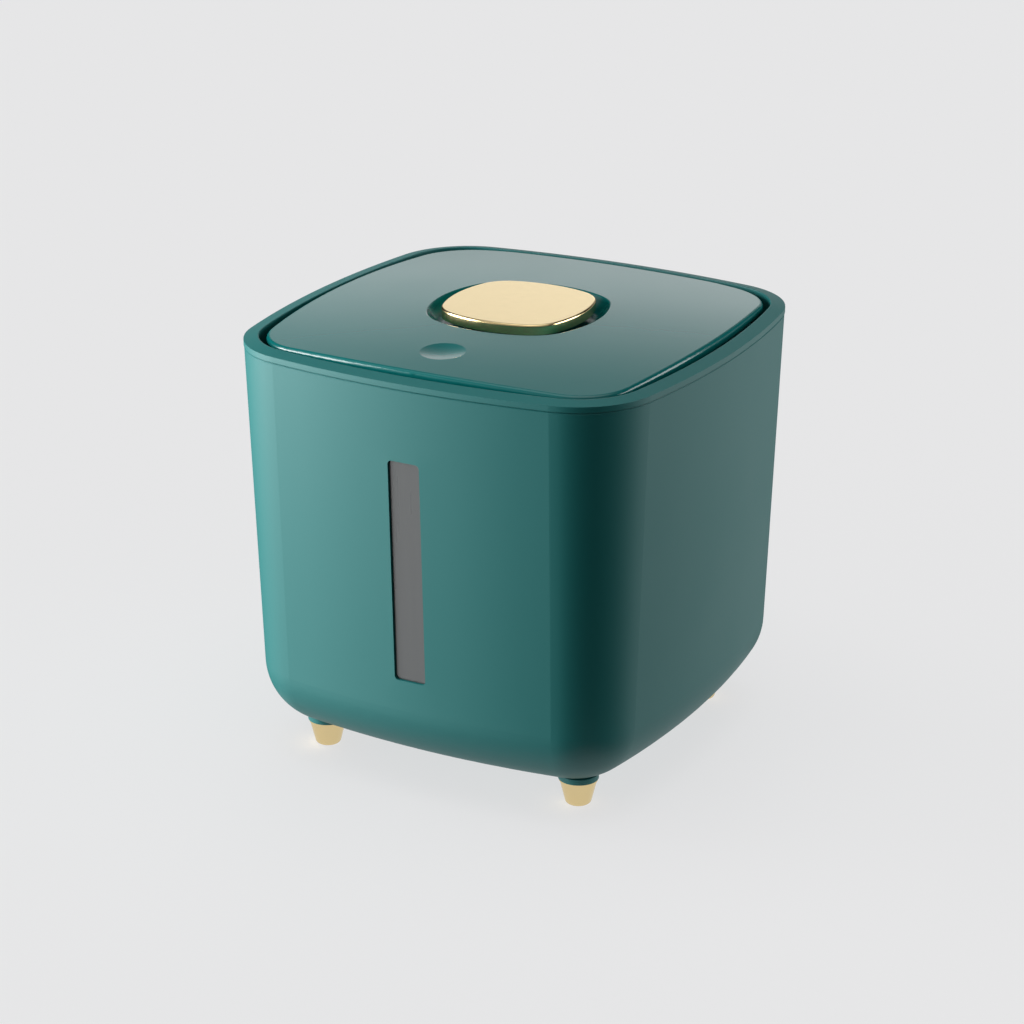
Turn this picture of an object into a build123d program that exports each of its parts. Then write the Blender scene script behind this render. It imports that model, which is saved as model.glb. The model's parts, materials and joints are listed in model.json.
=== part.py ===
from build123d import *
from math import radians, sqrt, tan
import os

os.makedirs("parts", exist_ok=True)

# Rice bin, in millimetres. +Z is up, the sight window faces -Y, and the origin is on the floor
# under the middle of the bin.

# ---- overall -------------------------------------------------------------------------------
rim_half_width = 135.0  # middle of the bin to the middle of a bowed side
rim_corner_radius = 49.0
rim_side_radius = 551.0  # each side bows out gently
underside_height = 18.2  # floor to the bottom of the tub
seam_height = 250.8  # floor to the seam between tub and top frame
rim_height = 5.4  # seam to the crest of the rim
crest_height = seam_height + rim_height

# ---- tub -----------------------------------------------------------------------------------
body_wall = 2.8
body_draft = 1.9  # degrees, wider at the top
body_bottom_round = 39.0
seam_step = 0.3  # the tub stands this far inside the frame
seam_chamfer = 0.6

# ---- top frame -----------------------------------------------------------------------------
rim_width = 8.8  # outer face to the crest
rim_slope_height = 1.6  # the rim's top falls this far towards the outside
rim_flat = 0.8  # level strip beside the opening
rim_shoulder_round = 3.0
rim_inner_round = 0.5
frame_wall = 2.4
ledge_depth = 16.2  # seam down to the gutter floor around the mouth
mouth_inset = 35.0  # outside of the rim to the edge of the mouth
mouth_corner_radius = 30.0
mouth_side_radius = 480.0
mouth_shift = -4.0  # the mouth lies forward, to leave room for the hinge
collar_wall = 2.0
collar_height = 10.0  # sealing collar above the gutter floor

# ---- snap lugs that hold the frame in the tub ------------------------------------------------
lug_offset = 55.0
lug_width = 10.0
lug_height = 5.0
lug_depth = 14.2  # seam down to the bottom of a lug
lug_bite = 0.9  # how deep a lug reaches into the tub's wall
lug_clearance = 0.3

# ---- lid -----------------------------------------------------------------------------------
lid_gap = 4.2  # between the rim and the lid
lid_rear_gap = 8.7  # the hinge side has a straight edge and a wider gap
lid_rear_blend = 40.0
lid_wall = 2.4
crown_rise = 6.6  # crest of the rim up to where the crown would peak
crown_radius = 1600.0
lid_edge_lift = 2.3  # seam up to the bottom of the lid's edge
lid_edge_round = 2.4
press_dish_radius = 12.7
press_dish_depth = 1.2
press_dish_setback = 24.0  # behind the catch
press_edge_round = 1.0

# ---- finger recess and grip ------------------------------------------------------------------
recess_depth = 9.2  # below the crown's peak
recess_half_width = 50.7  # at the top of the recess
recess_corner_radius = 30.0
recess_side_radius = 75.0
recess_slope = 42.0  # degrees away from upright
recess_floor_round = 6.0
recess_edge_round = 1.2
dish_margin = 4.0  # how far the cutting shape of the recess goes on past the lid's skin
pan_fit = 0.05  # between the pan of the recess and the lid's skin
finger_room = 9.1  # between the grip and the edge of the recess
grip_corner_radius = 22.0
grip_side_radius = 75.0
grip_rise = 2.4  # the grip's top above the crown's peak
grip_thickness = 6.0
grip_wall = 1.8
grip_edge_round = 1.2
grip_fit = 0.2
neck_inset = 14.0  # the neck stands this far inside the grip's edge

# ---- inner lid panel -------------------------------------------------------------------------
panel_thickness = 2.0
panel_overlap = 4.5  # past the mouth, over the collar
panel_wall_inset = 1.0
panel_wall = 1.8
plug_clearance = 1.5
plug_wall = 1.8
plug_depth = 8.0
gasket_thickness = 2.4
gasket_overlap = 4.0
gasket_fit = 0.1

# ---- hinge -----------------------------------------------------------------------------------
hinge_inset = 28.5  # outside of the rim to the pins
hinge_lift = 2.1  # seam up to the pins
hinge_offset = 45.0  # each side of the middle
hinge_boss_radius = 2.6
hinge_pin_radius = 1.2
hinge_pin_clearance = 0.05
knuckle_length = 14.0
knuckle_gap = 0.4
ear_thickness = 4.0
ear_setback = 2.0  # the ears' webs end this far forward of the pin's middle
ear_top_reach = 5.0  # forward of the pin's middle, beside the pin
ear_foot_reach = 7.0  # forward of the pin's middle, where the webs stand on the gutter floor

# ---- push catch ------------------------------------------------------------------------------
catch_inset = 19.0  # outside of the rim to the catch
catch_travel = 2.0
well_depth = 14.0  # gutter floor down to the floor of the well
well_floor = 2.0
well_wall = 1.6
tower_rise = 9.0  # gutter floor up to the top of the tower
housing_radius = 6.2
housing_wall = 1.2
housing_clearance = 0.1
flange_radius = 7.6
flange_thickness = 1.2
plunger_radius = 4.0
plunger_clearance = 0.08
plunger_proud = 2.0  # above the housing's flange
catch_spring_room = 4.0  # left for the spring when the plunger is pressed
plunger_foot_thickness = 2.0
plunger_foot_radius = 4.8
magnet_radius = 3.0
magnet_thickness = 2.5
spring_radius = 3.8
spring_wire_radius = 0.4
spring_turns = 4
striker_radius = 5.0
striker_thickness = 1.2
striker_gap = 0.3
striker_seat_depth = 0.8
striker_boss_wall = 1.0
spring_end_gap = 0.1

# ---- sight window ----------------------------------------------------------------------------
window_width = 20.0
window_height = 133.8
window_rise = 7.25  # the window's middle above the middle of the tub
window_corner_radius = 2.5
window_recess = 1.6
window_gap = 0.25
window_pad_border = 8.0
window_pad_depth = 5.0  # outer face of the wall to the back of the pad
window_flange_border = 6.0
window_flange_thickness = 1.6
window_gasket_thickness = 0.8
retainer_thickness = 1.5
retainer_gap = 0.15
retainer_reach = 5.0

# ---- feet ------------------------------------------------------------------------------------
foot_inset_x = 50.5  # outside of the rim to the middle of a foot
foot_inset_y = 51.5
foot_boss_radius = 11.8
foot_boss_height = 1.9
cup_top_radius = 11.3
cup_band_height = 1.3
cup_taper_radius = 10.9
cup_bottom_radius = 7.3
cup_bottom_round = 2.4
cup_wall = 2.0
cup_floor = 4.6
cup_lift = 0.4  # the pad keeps the cup off the floor
cup_post_radius = 3.5
pad_radius = 4.8
pad_thickness = 1.7

# ---- screws ----------------------------------------------------------------------------------
screw_radius = 1.4
screw_head_radius = 2.8
screw_head_height = 1.8
pilot_clearance = 0.05
screw_hole_clearance = 0.3
screw_boss_radius = 3.6
screw_length = 9.0  # head included
foot_screw_gap = 0.35  # the end of its hole to the tip of a foot's screw
lid_pilot_depth = 6.0
lid_screw_corner_inset = 26.0  # from the edge of the mouth
lid_screw_middle_inset = 14.0
grip_screw_offset = 14.0
grip_screw_reach = 8.0

# ---- places that follow from the sizes -------------------------------------------------------
mouth_half_width = rim_half_width - mouth_inset
ledge_height = seam_height - ledge_depth
lug_bottom = seam_height - lug_depth
lid_peak_height = crest_height + crown_rise
lid_edge_bottom = seam_height + lid_edge_lift
recess_floor_height = lid_peak_height - recess_depth
grip_half_width = recess_half_width - finger_room
grip_top_height = lid_peak_height + grip_rise
grip_bottom_height = grip_top_height - grip_thickness
hinge_distance = rim_half_width - hinge_inset
hinge_height = seam_height + hinge_lift
catch_distance = rim_half_width - catch_inset
press_dish_distance = catch_distance - press_dish_setback
well_floor_height = ledge_height - well_depth
tower_top_height = ledge_height + tower_rise
plunger_top_height = tower_top_height + flange_thickness + plunger_proud
window_middle_height = (underside_height + seam_height) / 2 + window_rise
lid_screw_corner = mouth_half_width - lid_screw_corner_inset
lid_screw_middle = mouth_half_width - lid_screw_middle_inset

sides = {"left": -1, "right": 1}
ends = {"front": -1, "rear": 1}


def soft_square(half_width, corner_radius, side_radius):
    """Square outline of eight tangent arcs: four bowed sides and four round corners."""
    side_centre = side_radius - half_width
    reach = side_radius - corner_radius
    corner_centre = (sqrt(2 * reach**2 - side_centre**2) - side_centre) / 2
    join_far = (corner_centre + side_centre) * side_radius / reach - side_centre
    join_near = corner_centre * side_radius / reach
    diagonal = corner_centre + corner_radius / sqrt(2)
    side = [Vector(join_far, -join_near), Vector(half_width, 0), Vector(join_far, join_near)]
    corner = [Vector(join_far, join_near), Vector(diagonal, diagonal), Vector(join_near, join_far)]
    with BuildSketch() as outline:
        with BuildLine():
            for turn in (0, 90, 180, 270):
                ThreePointArc(*[point.rotate(Axis.Z, turn) for point in side])
                ThreePointArc(*[point.rotate(Axis.Z, turn) for point in corner])
        make_face()
    return outline.sketch


def rim_outline(inset):
    """The bin's plan, drawn in evenly from the outside of the rim."""
    return soft_square(
        rim_half_width - inset, rim_corner_radius - inset, rim_side_radius - inset
    )


def mouth_outline(outset):
    """The mouth's plan, grown evenly by outset."""
    outline = soft_square(
        mouth_half_width + outset, mouth_corner_radius + outset, mouth_side_radius + outset
    )
    return outline.moved(Location((0, mouth_shift)))


def lid_outline(inset):
    """The lid's plan: the rim's inside less the gap, with a straight edge along the hinge."""
    rear_edge = rim_half_width - rim_width - lid_rear_gap - inset
    cut_align = (Align.CENTER, Align.MIN)
    with BuildSketch() as outline:
        add(rim_outline(rim_width + lid_gap + inset))
        with Locations((0, rear_edge)):
            Rectangle(2 * rim_half_width, rim_width, align=cut_align, mode=Mode.SUBTRACT)
        fillet(outline.vertices().group_by(Axis.Y)[-1], radius=lid_rear_blend)
    return outline.sketch


def recess_outline(inset):
    return soft_square(
        recess_half_width - inset, recess_corner_radius - inset, recess_side_radius - inset
    )


def grip_outline(inset):
    return soft_square(grip_half_width - inset, grip_corner_radius - inset, grip_side_radius - inset)


def crown_height(distance):
    """Height of the lid's outer skin at this distance from the middle."""
    return lid_peak_height - crown_radius + sqrt(crown_radius**2 - distance**2)


def under_crown(block, depth):
    """The part of a solid that lies below a crown this deep under the lid's outer skin."""
    with BuildPart() as lower:
        add(block)
        with Locations((0, 0, lid_peak_height - crown_radius)):
            Sphere(crown_radius - depth, mode=Mode.INTERSECT)
    return lower.part


def crowned(outline, bottom, depth):
    """Solid of this plan, from its bottom up to a crown this deep under the lid's outer skin."""
    with BuildPart() as block:
        with BuildSketch(Plane.XY.offset(bottom)):
            add(outline)
        extrude(amount=lid_peak_height - bottom)
    return under_crown(block.part, depth)


def circles(places, radius):
    with BuildSketch() as outlines:
        with Locations(*places):
            Circle(radius)
    return outlines.sketch


def panel_wall_plan():
    """Plan of the lid's rib that closes the space over the inner panel."""
    with BuildSketch() as outline:
        add(mouth_outline(panel_overlap - panel_wall_inset))
        add(mouth_outline(panel_overlap - panel_wall_inset - panel_wall), mode=Mode.SUBTRACT)
    return outline.sketch


def tub(inset, floor_height, bottom_round):
    """Solid tub up to the seam, with the body's draft and a rounded bottom edge."""
    floor_inset = inset + (seam_height - floor_height) * tan(radians(body_draft))
    with BuildPart() as block:
        with BuildSketch(Plane.XY.offset(floor_height)):
            add(rim_outline(floor_inset))
        extrude(amount=seam_height - floor_height, taper=-body_draft)
        fillet(block.faces().sort_by(Axis.Z)[0].edges(), radius=bottom_round)
    return block.part


def lugs(bite_inset, width, bottom, height):
    """Twelve blocks, three along each side, from the tub's wall in to the frame's wall."""
    offsets = (-lug_offset, 0, lug_offset)
    with BuildPart() as blocks:
        with BuildSketch(Plane.XY.offset(bottom)):
            with Locations(*[(offset, 0) for offset in offsets]):
                Rectangle(width, 2 * rim_half_width)
            with Locations(*[(0, offset) for offset in offsets]):
                Rectangle(2 * rim_half_width, width)
            add(rim_outline(bite_inset), mode=Mode.INTERSECT)
            add(rim_outline(rim_width - frame_wall + lug_bite / 2), mode=Mode.SUBTRACT)
        extrude(amount=height)
    return blocks.part


def dish(outset, floor_height, floor_round):
    """The finger recess as a solid that widens upwards, past the top of the lid."""
    rise = crown_height(recess_half_width) - floor_height
    spread = tan(radians(recess_slope))
    with BuildPart() as block:
        with BuildSketch(Plane.XY.offset(floor_height)):
            add(recess_outline(rise * spread - outset))
        extrude(amount=rise + dish_margin, taper=-recess_slope)
        fillet(block.faces().sort_by(Axis.Z)[0].edges(), radius=floor_round)
    return block.part


def screw(head_bottom, length):
    """Pan-head screw pointing up, drawn about the sketch origin."""
    with BuildPart() as one:
        with BuildSketch(Plane.XY.offset(head_bottom)):
            Circle(screw_head_radius)
        extrude(amount=screw_head_height)
        fillet(one.edges().sort_by(Axis.Z)[0], radius=screw_head_height / 3)
        with BuildSketch(Plane.XY.offset(head_bottom)):
            Circle(screw_radius)
        extrude(amount=length)
        with BuildSketch(Plane.XY.offset(head_bottom)):
            Rectangle(screw_radius * 2, screw_head_height / 3)
            Rectangle(screw_head_height / 3, screw_radius * 2)
        extrude(amount=screw_head_height / 2, mode=Mode.SUBTRACT)
    return one.part


def save(piece, name):
    piece.label = name
    export_step(piece, f"parts/{name}.step")


# ---- places worked out from the sizes --------------------------------------------------------
foot_reach_x = rim_half_width - foot_inset_x
foot_reach_y = rim_half_width - foot_inset_y
foot_places = [(side * foot_reach_x, end * foot_reach_y) for side in (-1, 1) for end in (-1, 1)]
boss_bottom_height = underside_height - foot_boss_height
collar_top_height = ledge_height + collar_height
panel_bottom_height = collar_top_height + gasket_thickness
panel_top_height = panel_bottom_height + panel_thickness
lid_screw_places = [
    (across, along + mouth_shift)
    for across in (-lid_screw_corner, lid_screw_corner)
    for along in (-lid_screw_corner, lid_screw_corner)
]
lid_screw_places += [(across, mouth_shift) for across in (-lid_screw_middle, lid_screw_middle)]
lid_screw_places += [(0, along + mouth_shift) for along in (-lid_screw_middle, lid_screw_middle)]
grip_screw_places = [
    (across, along)
    for across in (-grip_screw_offset, grip_screw_offset)
    for along in (-grip_screw_offset, grip_screw_offset)
]
striker_bottom_height = plunger_top_height + striker_gap
striker_boss_bottom = striker_bottom_height + striker_thickness - striker_seat_depth
plunger_foot_height = well_floor_height + catch_spring_room + catch_travel
striker_boss_radius = striker_radius + pilot_clearance + striker_boss_wall
ear_offset = (knuckle_length + ear_thickness) / 2 + knuckle_gap
catch_place = [(0, -catch_distance)]
skin_middle = lid_wall / 2
foot_head_height = pad_thickness + pilot_clearance
foot_pilot_top = underside_height + 0.6 * body_wall
foot_screw_length = foot_pilot_top - foot_screw_gap - foot_head_height
pan_bottom = recess_floor_height - lid_wall
pilot_radius = screw_radius + pilot_clearance
screw_hole_radius = screw_radius + screw_hole_clearance

# The window lies on the front wall, which leans out towards the top by the draft.
window_face = -(
    rim_half_width - seam_step - (seam_height - window_middle_height) * tan(radians(body_draft))
)
window_plane = Plane(
    origin=(0, window_face, window_middle_height),
    x_dir=(1, 0, 0),
    z_dir=Vector(0, -1, 0).rotate(Axis.X, body_draft),
)
window_flange_depth = window_pad_depth + window_gasket_thickness
retainer_depth = window_flange_depth + window_flange_thickness


def window_frame(border):
    """Rounded rectangle round the window, this much larger on every side."""
    with BuildSketch() as outline:
        RectangleRounded(
            window_width + 2 * border, window_height + 2 * border, window_corner_radius + max(border, 0)
        )
    return outline.sketch


# ---- body shell ------------------------------------------------------------------------------
with BuildPart() as body_shell:
    add(tub(seam_step, underside_height, body_bottom_round))
    chamfer(body_shell.faces().sort_by(Axis.Z)[-1].edges(), length=seam_chamfer)
    with BuildSketch(Plane.XY.offset(boss_bottom_height)):
        with Locations(*foot_places):
            Circle(foot_boss_radius)
    extrude(amount=foot_boss_height + body_wall / 2)
    add(
        tub(seam_step + body_wall, underside_height + body_wall, body_bottom_round - body_wall),
        mode=Mode.SUBTRACT,
    )
    # flat pad behind the window, then the slot through it
    with BuildSketch(window_plane.offset(-window_pad_depth)):
        add(window_frame(window_pad_border))
    extrude(amount=window_pad_depth - body_wall / 2)
    with BuildSketch(window_plane.offset(-retainer_depth)):
        add(window_frame(0))
    extrude(amount=retainer_depth + body_wall, mode=Mode.SUBTRACT)
    # pockets for the frame's snap lugs
    add(
        lugs(
            seam_step + body_wall - lug_bite - lug_clearance,
            lug_width + 2 * lug_clearance,
            lug_bottom - lug_clearance,
            lug_height + 2 * lug_clearance,
        ),
        mode=Mode.SUBTRACT,
    )
    with BuildSketch(Plane.XY.offset(boss_bottom_height)):
        with Locations(*foot_places):
            Circle(pilot_radius)
    extrude(amount=foot_pilot_top - boss_bottom_height, mode=Mode.SUBTRACT)
save(body_shell.part, "body_shell")

# ---- sight window ----------------------------------------------------------------------------
with BuildPart() as window_strip:
    with BuildSketch(window_plane.offset(-retainer_depth)):
        add(window_frame(window_flange_border))
    extrude(amount=window_flange_thickness)
    with BuildSketch(window_plane.offset(-window_flange_depth)):
        add(window_frame(-window_gap))
    extrude(amount=window_flange_depth - window_recess)
save(window_strip.part, "window_strip")

with BuildPart() as window_gasket:
    with BuildSketch(window_plane.offset(-window_flange_depth)):
        add(window_frame(window_flange_border))
        add(window_frame(window_gap), mode=Mode.SUBTRACT)
    extrude(amount=window_gasket_thickness)
save(window_gasket.part, "window_gasket")

with BuildPart() as window_retainer:
    with BuildSketch(window_plane.offset(-retainer_depth - retainer_thickness)):
        add(window_frame(window_pad_border + retainer_gap + retainer_thickness))
        add(window_frame(0), mode=Mode.SUBTRACT)
    extrude(amount=retainer_thickness)
    with BuildSketch(window_plane.offset(-retainer_depth)):
        add(window_frame(window_pad_border + retainer_gap + retainer_thickness))
        add(window_frame(window_pad_border + retainer_gap), mode=Mode.SUBTRACT)
    extrude(amount=retainer_reach - retainer_thickness)
save(window_retainer.part, "window_retainer")

# ---- top frame -------------------------------------------------------------------------------
rim_path = rim_outline(rim_width).wire()
rim_section_plane = Plane(
    origin=rim_path @ 0, x_dir=(rim_path % 0).rotate(Axis.Z, -90), z_dir=-(rim_path % 0)
)
with BuildPart() as top_frame:
    # rim and wall in one section, carried round the opening: x outwards from the opening, y up
    with BuildSketch(rim_section_plane):
        with BuildLine():
            Polyline(
                (0, ledge_height - frame_wall),
                (0, crest_height),
                (rim_flat, crest_height),
                (rim_width, crest_height - rim_slope_height),
                (rim_width, seam_height + seam_chamfer),
                (rim_width - seam_chamfer, seam_height),
                (frame_wall, seam_height),
                (frame_wall, ledge_height - frame_wall),
                close=True,
            )
        corners = make_face().vertices()
        fillet(corners.sort_by_distance((0, crest_height))[0], radius=rim_inner_round)
        shoulder = corners.sort_by_distance((rim_width, crest_height - rim_slope_height))[0]
        fillet(shoulder, radius=rim_shoulder_round)
    sweep(path=rim_path)
    with BuildSketch(Plane.XY.offset(ledge_height - frame_wall)):
        add(rim_outline(rim_width - frame_wall / 2))
    extrude(amount=frame_wall)
    # sealing collar round the mouth
    with BuildSketch(Plane.XY.offset(ledge_height)):
        add(mouth_outline(collar_wall))
    extrude(amount=collar_height)
    with BuildSketch(Plane.XY.offset(ledge_height - frame_wall)):
        add(mouth_outline(0))
    extrude(amount=collar_height + frame_wall, mode=Mode.SUBTRACT)
    collar_edges = top_frame.edges().filter_by_position(Axis.Z, collar_top_height, collar_top_height)
    fillet(collar_edges, radius=collar_wall / 4)
    # tower and well for the push catch
    with BuildSketch(Plane.XY.offset(well_floor_height - well_floor)):
        with Locations((0, -catch_distance)):
            Circle(housing_radius + housing_clearance + well_wall)
    extrude(amount=tower_top_height - well_floor_height + well_floor)
    with BuildSketch(Plane.XY.offset(well_floor_height)):
        with Locations((0, -catch_distance)):
            Circle(housing_radius + housing_clearance)
    extrude(amount=tower_top_height - well_floor_height, mode=Mode.SUBTRACT)
    # two ears for each hinge pin, their webs clear of the open lid's rear edge
    ear_back = hinge_distance - ear_setback
    for side in sides.values():
        for flank in (-1, 1):
            with BuildSketch(Plane.YZ.offset(side * hinge_offset + flank * ear_offset)):
                with Locations((hinge_distance, hinge_height)):
                    Circle(hinge_boss_radius)
                with BuildLine():
                    Polyline(
                        (hinge_distance - ear_foot_reach, ledge_height),
                        (ear_back, ledge_height),
                        (ear_back, hinge_height),
                        (hinge_distance - ear_top_reach, hinge_height),
                        close=True,
                    )
                make_face()
                with Locations((hinge_distance, hinge_height)):
                    Circle(hinge_pin_radius + hinge_pin_clearance, mode=Mode.SUBTRACT)
            extrude(amount=ear_thickness / 2, both=True)
    add(lugs(seam_step + body_wall - lug_bite, lug_width, lug_bottom, lug_height))
save(top_frame.part, "top_frame")

# ---- hinge pins ------------------------------------------------------------------------------
for side_name, side in sides.items():
    with BuildPart() as hinge_pin:
        with BuildSketch(Plane.YZ.offset(side * hinge_offset)):
            with Locations((hinge_distance, hinge_height)):
                Circle(hinge_pin_radius)
        extrude(amount=knuckle_length / 2 + knuckle_gap + ear_thickness, both=True)
        chamfer(hinge_pin.edges().filter_by(GeomType.CIRCLE), length=hinge_pin_radius / 4)
    save(hinge_pin.part, f"hinge_pin_{side_name}")

# ---- lid cover -------------------------------------------------------------------------------
with BuildPart() as lid_cover:
    add(crowned(lid_outline(0), lid_edge_bottom, 0))
    fillet(lid_cover.faces().sort_by(Axis.Z)[-1].edges(), radius=lid_edge_round)
    add(crowned(lid_outline(lid_wall), lid_edge_bottom, lid_wall), mode=Mode.SUBTRACT)
    add(dish(0, recess_floor_height, recess_floor_round), mode=Mode.SUBTRACT)
    crown_at_rim = crown_height(recess_half_width + recess_floor_round)
    new_edges = lid_cover.edges(Select.LAST)
    recess_rim = new_edges.filter_by_position(Axis.Z, crown_at_rim, lid_peak_height)
    fillet(recess_rim, radius=recess_edge_round)
    # the panel's screw bosses, the wall over the panel's edge and the striker's boss
    add(crowned(circles(lid_screw_places, screw_boss_radius), panel_top_height, skin_middle))
    add(crowned(panel_wall_plan(), panel_top_height, skin_middle))
    add(crowned(circles(catch_place, striker_boss_radius), striker_boss_bottom, skin_middle))
    # hinge knuckles with their webs up to the skin
    knuckle_reach = sqrt(hinge_distance**2 + hinge_offset**2)
    knuckle_web_height = crown_height(knuckle_reach) - skin_middle - hinge_height
    for side in sides.values():
        with BuildSketch(Plane.YZ.offset(side * hinge_offset)):
            with Locations((hinge_distance, hinge_height)):
                Circle(hinge_boss_radius)
                Rectangle(
                    2 * hinge_boss_radius,
                    knuckle_web_height,
                    align=(Align.CENTER, Align.MIN),
                )
                Circle(hinge_pin_radius + hinge_pin_clearance, mode=Mode.SUBTRACT)
        extrude(amount=knuckle_length / 2, both=True)
    # shallow round dish that shows where to press
    press_ball_radius = (press_dish_radius**2 + press_dish_depth**2) / (2 * press_dish_depth)
    press_height = crown_height(press_dish_distance) - press_dish_depth + press_ball_radius
    with Locations((0, -press_dish_distance, press_height)):
        Sphere(press_ball_radius, mode=Mode.SUBTRACT)
    dish_circles = lid_cover.edges(Select.LAST).filter_by(GeomType.CIRCLE)
    press_rim = dish_circles.sort_by(lambda edge: abs(edge.radius - press_dish_radius))[0]
    fillet(press_rim, radius=press_edge_round)
    # blind pilot holes for the panel and a seat for the striker
    with BuildSketch(Plane.XY.offset(panel_top_height)):
        with Locations(*lid_screw_places):
            Circle(pilot_radius)
    extrude(amount=lid_pilot_depth, mode=Mode.SUBTRACT)
    with BuildSketch(Plane.XY.offset(striker_boss_bottom)):
        with Locations(*catch_place):
            Circle(striker_radius + pilot_clearance)
    extrude(amount=striker_seat_depth, mode=Mode.SUBTRACT)
save(lid_cover.part, "lid_cover")

# ---- pan of the finger recess, hung under the lid's skin -------------------------------------
with BuildPart() as recess_pan:
    pan_block = dish(lid_wall, pan_bottom, recess_floor_round + lid_wall)
    add(under_crown(pan_block, lid_wall + pan_fit))
    add(dish(0, recess_floor_height, recess_floor_round), mode=Mode.SUBTRACT)
    with BuildSketch(Plane.XY.offset(pan_bottom)):
        with Locations(*grip_screw_places):
            Circle(screw_hole_radius)
    extrude(amount=lid_wall, mode=Mode.SUBTRACT)
save(recess_pan.part, "recess_pan")

# ---- grip ------------------------------------------------------------------------------------
with BuildPart() as grip_cap:
    with BuildSketch(Plane.XY.offset(grip_bottom_height)):
        add(grip_outline(0))
    extrude(amount=grip_thickness)
    fillet(grip_cap.faces().sort_by(Axis.Z)[-1].edges(), radius=grip_edge_round)
    with BuildSketch(Plane.XY.offset(grip_bottom_height)):
        add(grip_outline(grip_wall))
    extrude(amount=grip_thickness - grip_wall, mode=Mode.SUBTRACT)
save(grip_cap.part, "grip_cap")

with BuildPart() as grip_base:
    with BuildSketch(Plane.XY.offset(grip_bottom_height)):
        add(grip_outline(grip_wall + grip_fit))
    extrude(amount=grip_thickness - grip_wall)
    with BuildSketch(Plane.XY.offset(recess_floor_height)):
        add(grip_outline(neck_inset))
    extrude(amount=grip_bottom_height - recess_floor_height)
    with BuildSketch(Plane.XY.offset(recess_floor_height)):
        with Locations(*grip_screw_places):
            Circle(pilot_radius)
    extrude(amount=grip_screw_reach, mode=Mode.SUBTRACT)
save(grip_base.part, "grip_base")

# ---- inner lid panel -------------------------------------------------------------------------
with BuildPart() as lid_inner_panel:
    with BuildSketch(Plane.XY.offset(panel_bottom_height)):
        add(mouth_outline(panel_overlap))
    extrude(amount=panel_thickness)
    with BuildSketch(Plane.XY.offset(panel_bottom_height - plug_depth)):
        add(mouth_outline(-plug_clearance))
    extrude(amount=plug_depth)
    fillet(lid_inner_panel.faces().sort_by(Axis.Z)[0].edges(), radius=plug_wall / 2)
    with BuildSketch(Plane.XY.offset(panel_bottom_height - plug_depth)):
        add(mouth_outline(-plug_clearance - plug_wall))
    extrude(amount=plug_depth, mode=Mode.SUBTRACT)
    with BuildSketch(Plane.XY.offset(panel_bottom_height)):
        with Locations(*lid_screw_places):
            Circle(screw_hole_radius)
    extrude(amount=panel_thickness, mode=Mode.SUBTRACT)
save(lid_inner_panel.part, "lid_inner_panel")

with BuildPart() as lid_gasket:
    with BuildSketch(Plane.XY.offset(collar_top_height)):
        add(mouth_outline(gasket_overlap))
        add(mouth_outline(gasket_fit - plug_clearance), mode=Mode.SUBTRACT)
    extrude(amount=gasket_thickness)
save(lid_gasket.part, "lid_gasket")

# ---- screws ----------------------------------------------------------------------------------
with BuildPart() as lid_screws:
    with Locations(*lid_screw_places):
        add(screw(panel_bottom_height - screw_head_height, screw_length))
save(lid_screws.part, "lid_screws")

with BuildPart() as grip_screws:
    with Locations(*grip_screw_places):
        add(screw(recess_floor_height - lid_wall - screw_head_height, screw_length))
save(grip_screws.part, "grip_screws")

# ---- push catch ------------------------------------------------------------------------------
with BuildPart() as latch_housing:
    with BuildSketch(Plane.XY.offset(well_floor_height)):
        with Locations(*catch_place):
            Circle(housing_radius)
    extrude(amount=tower_top_height - well_floor_height)
    with BuildSketch(Plane.XY.offset(tower_top_height)):
        with Locations(*catch_place):
            Circle(flange_radius)
    extrude(amount=flange_thickness)
    with BuildSketch(Plane.XY.offset(well_floor_height)):
        with Locations(*catch_place):
            Circle(housing_radius - housing_wall)
    extrude(amount=tower_top_height - well_floor_height, mode=Mode.SUBTRACT)
    with BuildSketch(Plane.XY.offset(tower_top_height)):
        with Locations(*catch_place):
            Circle(plunger_radius + plunger_clearance)
    extrude(amount=flange_thickness, mode=Mode.SUBTRACT)
save(latch_housing.part, "latch_housing")

with BuildPart() as latch_plunger:
    with BuildSketch(Plane.XY.offset(plunger_foot_height)):
        with Locations(*catch_place):
            Circle(plunger_foot_radius)
    extrude(amount=plunger_foot_thickness)
    with BuildSketch(Plane.XY.offset(plunger_foot_height)):
        with Locations(*catch_place):
            Circle(plunger_radius)
    extrude(amount=plunger_top_height - plunger_foot_height)
    with BuildSketch(Plane.XY.offset(plunger_top_height - magnet_thickness)):
        with Locations(*catch_place):
            Circle(magnet_radius + pilot_clearance)
    extrude(amount=magnet_thickness, mode=Mode.SUBTRACT)
save(latch_plunger.part, "latch_plunger")

with BuildPart() as latch_magnet:
    with BuildSketch(Plane.XY.offset(plunger_top_height - magnet_thickness)):
        with Locations(*catch_place):
            Circle(magnet_radius)
    extrude(amount=magnet_thickness)
save(latch_magnet.part, "latch_magnet")

with BuildPart() as latch_spring:
    spring_space = plunger_foot_height - well_floor_height - 2 * (spring_wire_radius + spring_end_gap)
    with BuildLine() as coil:
        Helix(
            pitch=spring_space / spring_turns,
            height=spring_space,
            radius=spring_radius,
            center=(0, -catch_distance, well_floor_height + spring_wire_radius + spring_end_gap),
        )
    with BuildSketch(Plane(origin=coil.line @ 0, z_dir=coil.line % 0)):
        Circle(spring_wire_radius)
    sweep(path=coil.line, is_frenet=True)
save(latch_spring.part, "latch_spring")

with BuildPart() as striker_plate:
    with BuildSketch(Plane.XY.offset(striker_bottom_height)):
        with Locations(*catch_place):
            Circle(striker_radius)
    extrude(amount=striker_thickness)
save(striker_plate.part, "striker_plate")

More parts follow.
